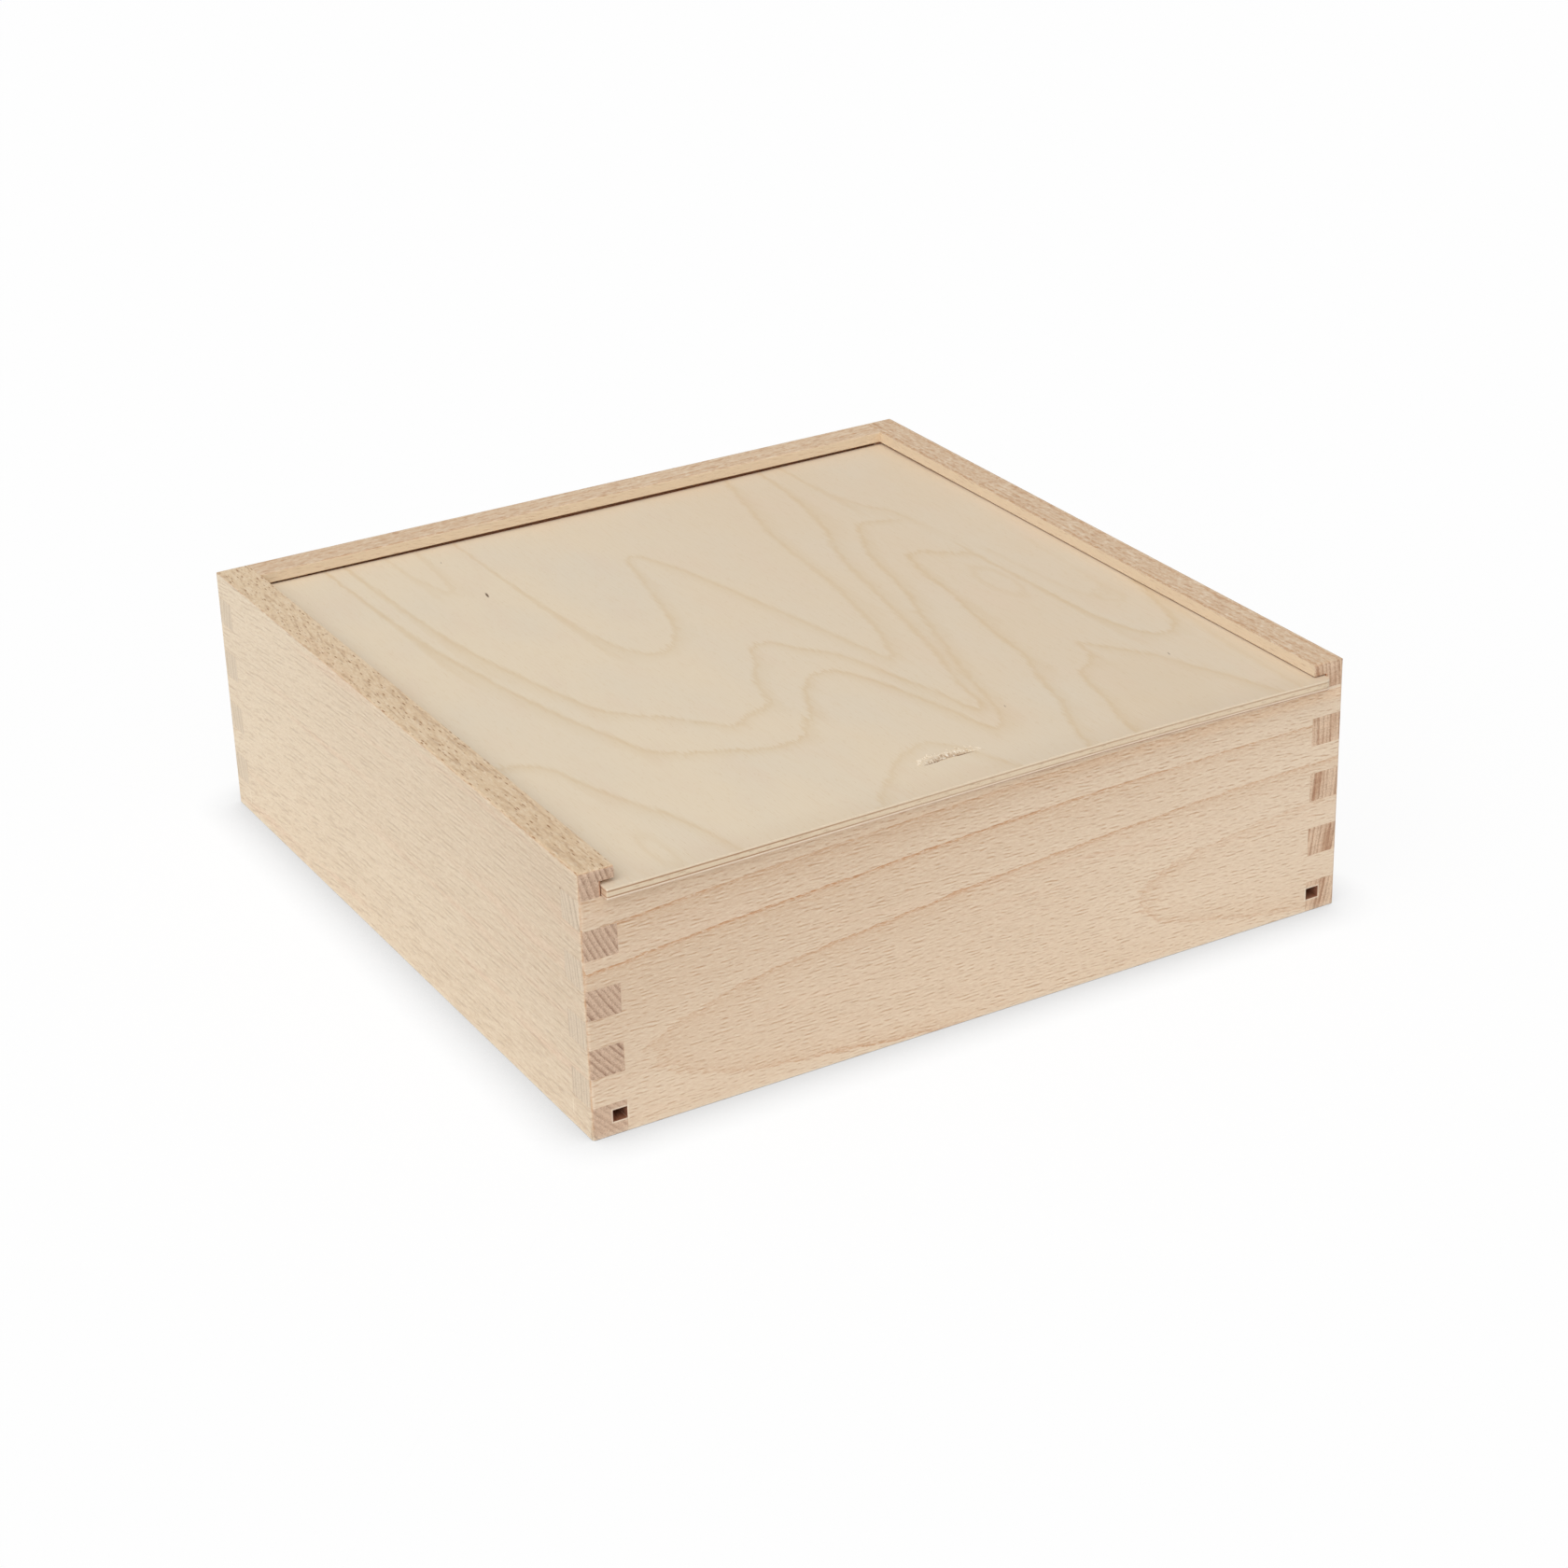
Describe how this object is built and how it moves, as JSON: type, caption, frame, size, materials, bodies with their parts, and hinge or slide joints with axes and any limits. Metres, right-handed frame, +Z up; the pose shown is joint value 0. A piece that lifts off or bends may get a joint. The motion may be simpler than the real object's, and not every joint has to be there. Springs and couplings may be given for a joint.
{
  "type": "finger-jointed wooden box",
  "caption": "Low square box of beech boards joined with fingers at the corners, with a plywood bottom in a groove and a plywood lid that slides out to the front, with a thumb notch.",
  "frame": {"origin": "centre of the box's footprint, on the surface that it stands on; the lid stands a few millimetres proud of the front at rest", "axes": "+Z up, +X to the right along the front board, +Y to the back; the lid slides out along -Y"},
  "size_m": [0.28, 0.2835, 0.09],
  "materials": {
    "beech_front": "raw beech, fine sanded, flat-sawn face with small ray flecks",
    "beech_back": "raw beech, fine sanded, flat-sawn face with small ray flecks",
    "beech_left": "raw beech, fine sanded, pale face with fine ray flecks",
    "beech_right": "raw beech, fine sanded, flat-sawn face with small ray flecks",
    "birch_veneer": "raw birch veneer, fine sanded, faint curling growth lines",
    "birch_core": "birch veneer laid across the face grain, seen at its edges"
  },
  "bodies": {
    "box": {"front_board": "beech_front", "back_board": "beech_back", "left_board": "beech_left", "right_board": "beech_right", "bottom_under_veneer": "birch_veneer", "bottom_core": "birch_core", "bottom_top_veneer": "birch_veneer"},
    "lid": {"lid_under_veneer": "birch_veneer", "lid_core": "birch_core", "lid_top_veneer": "birch_veneer"}
  },
  "joints": [
    {"name": "lid_slide", "type": "slide", "parent": "box", "child": "lid", "axis": [0, -1, 0], "range_m": [-0.0035, 0.272]}
  ]
}
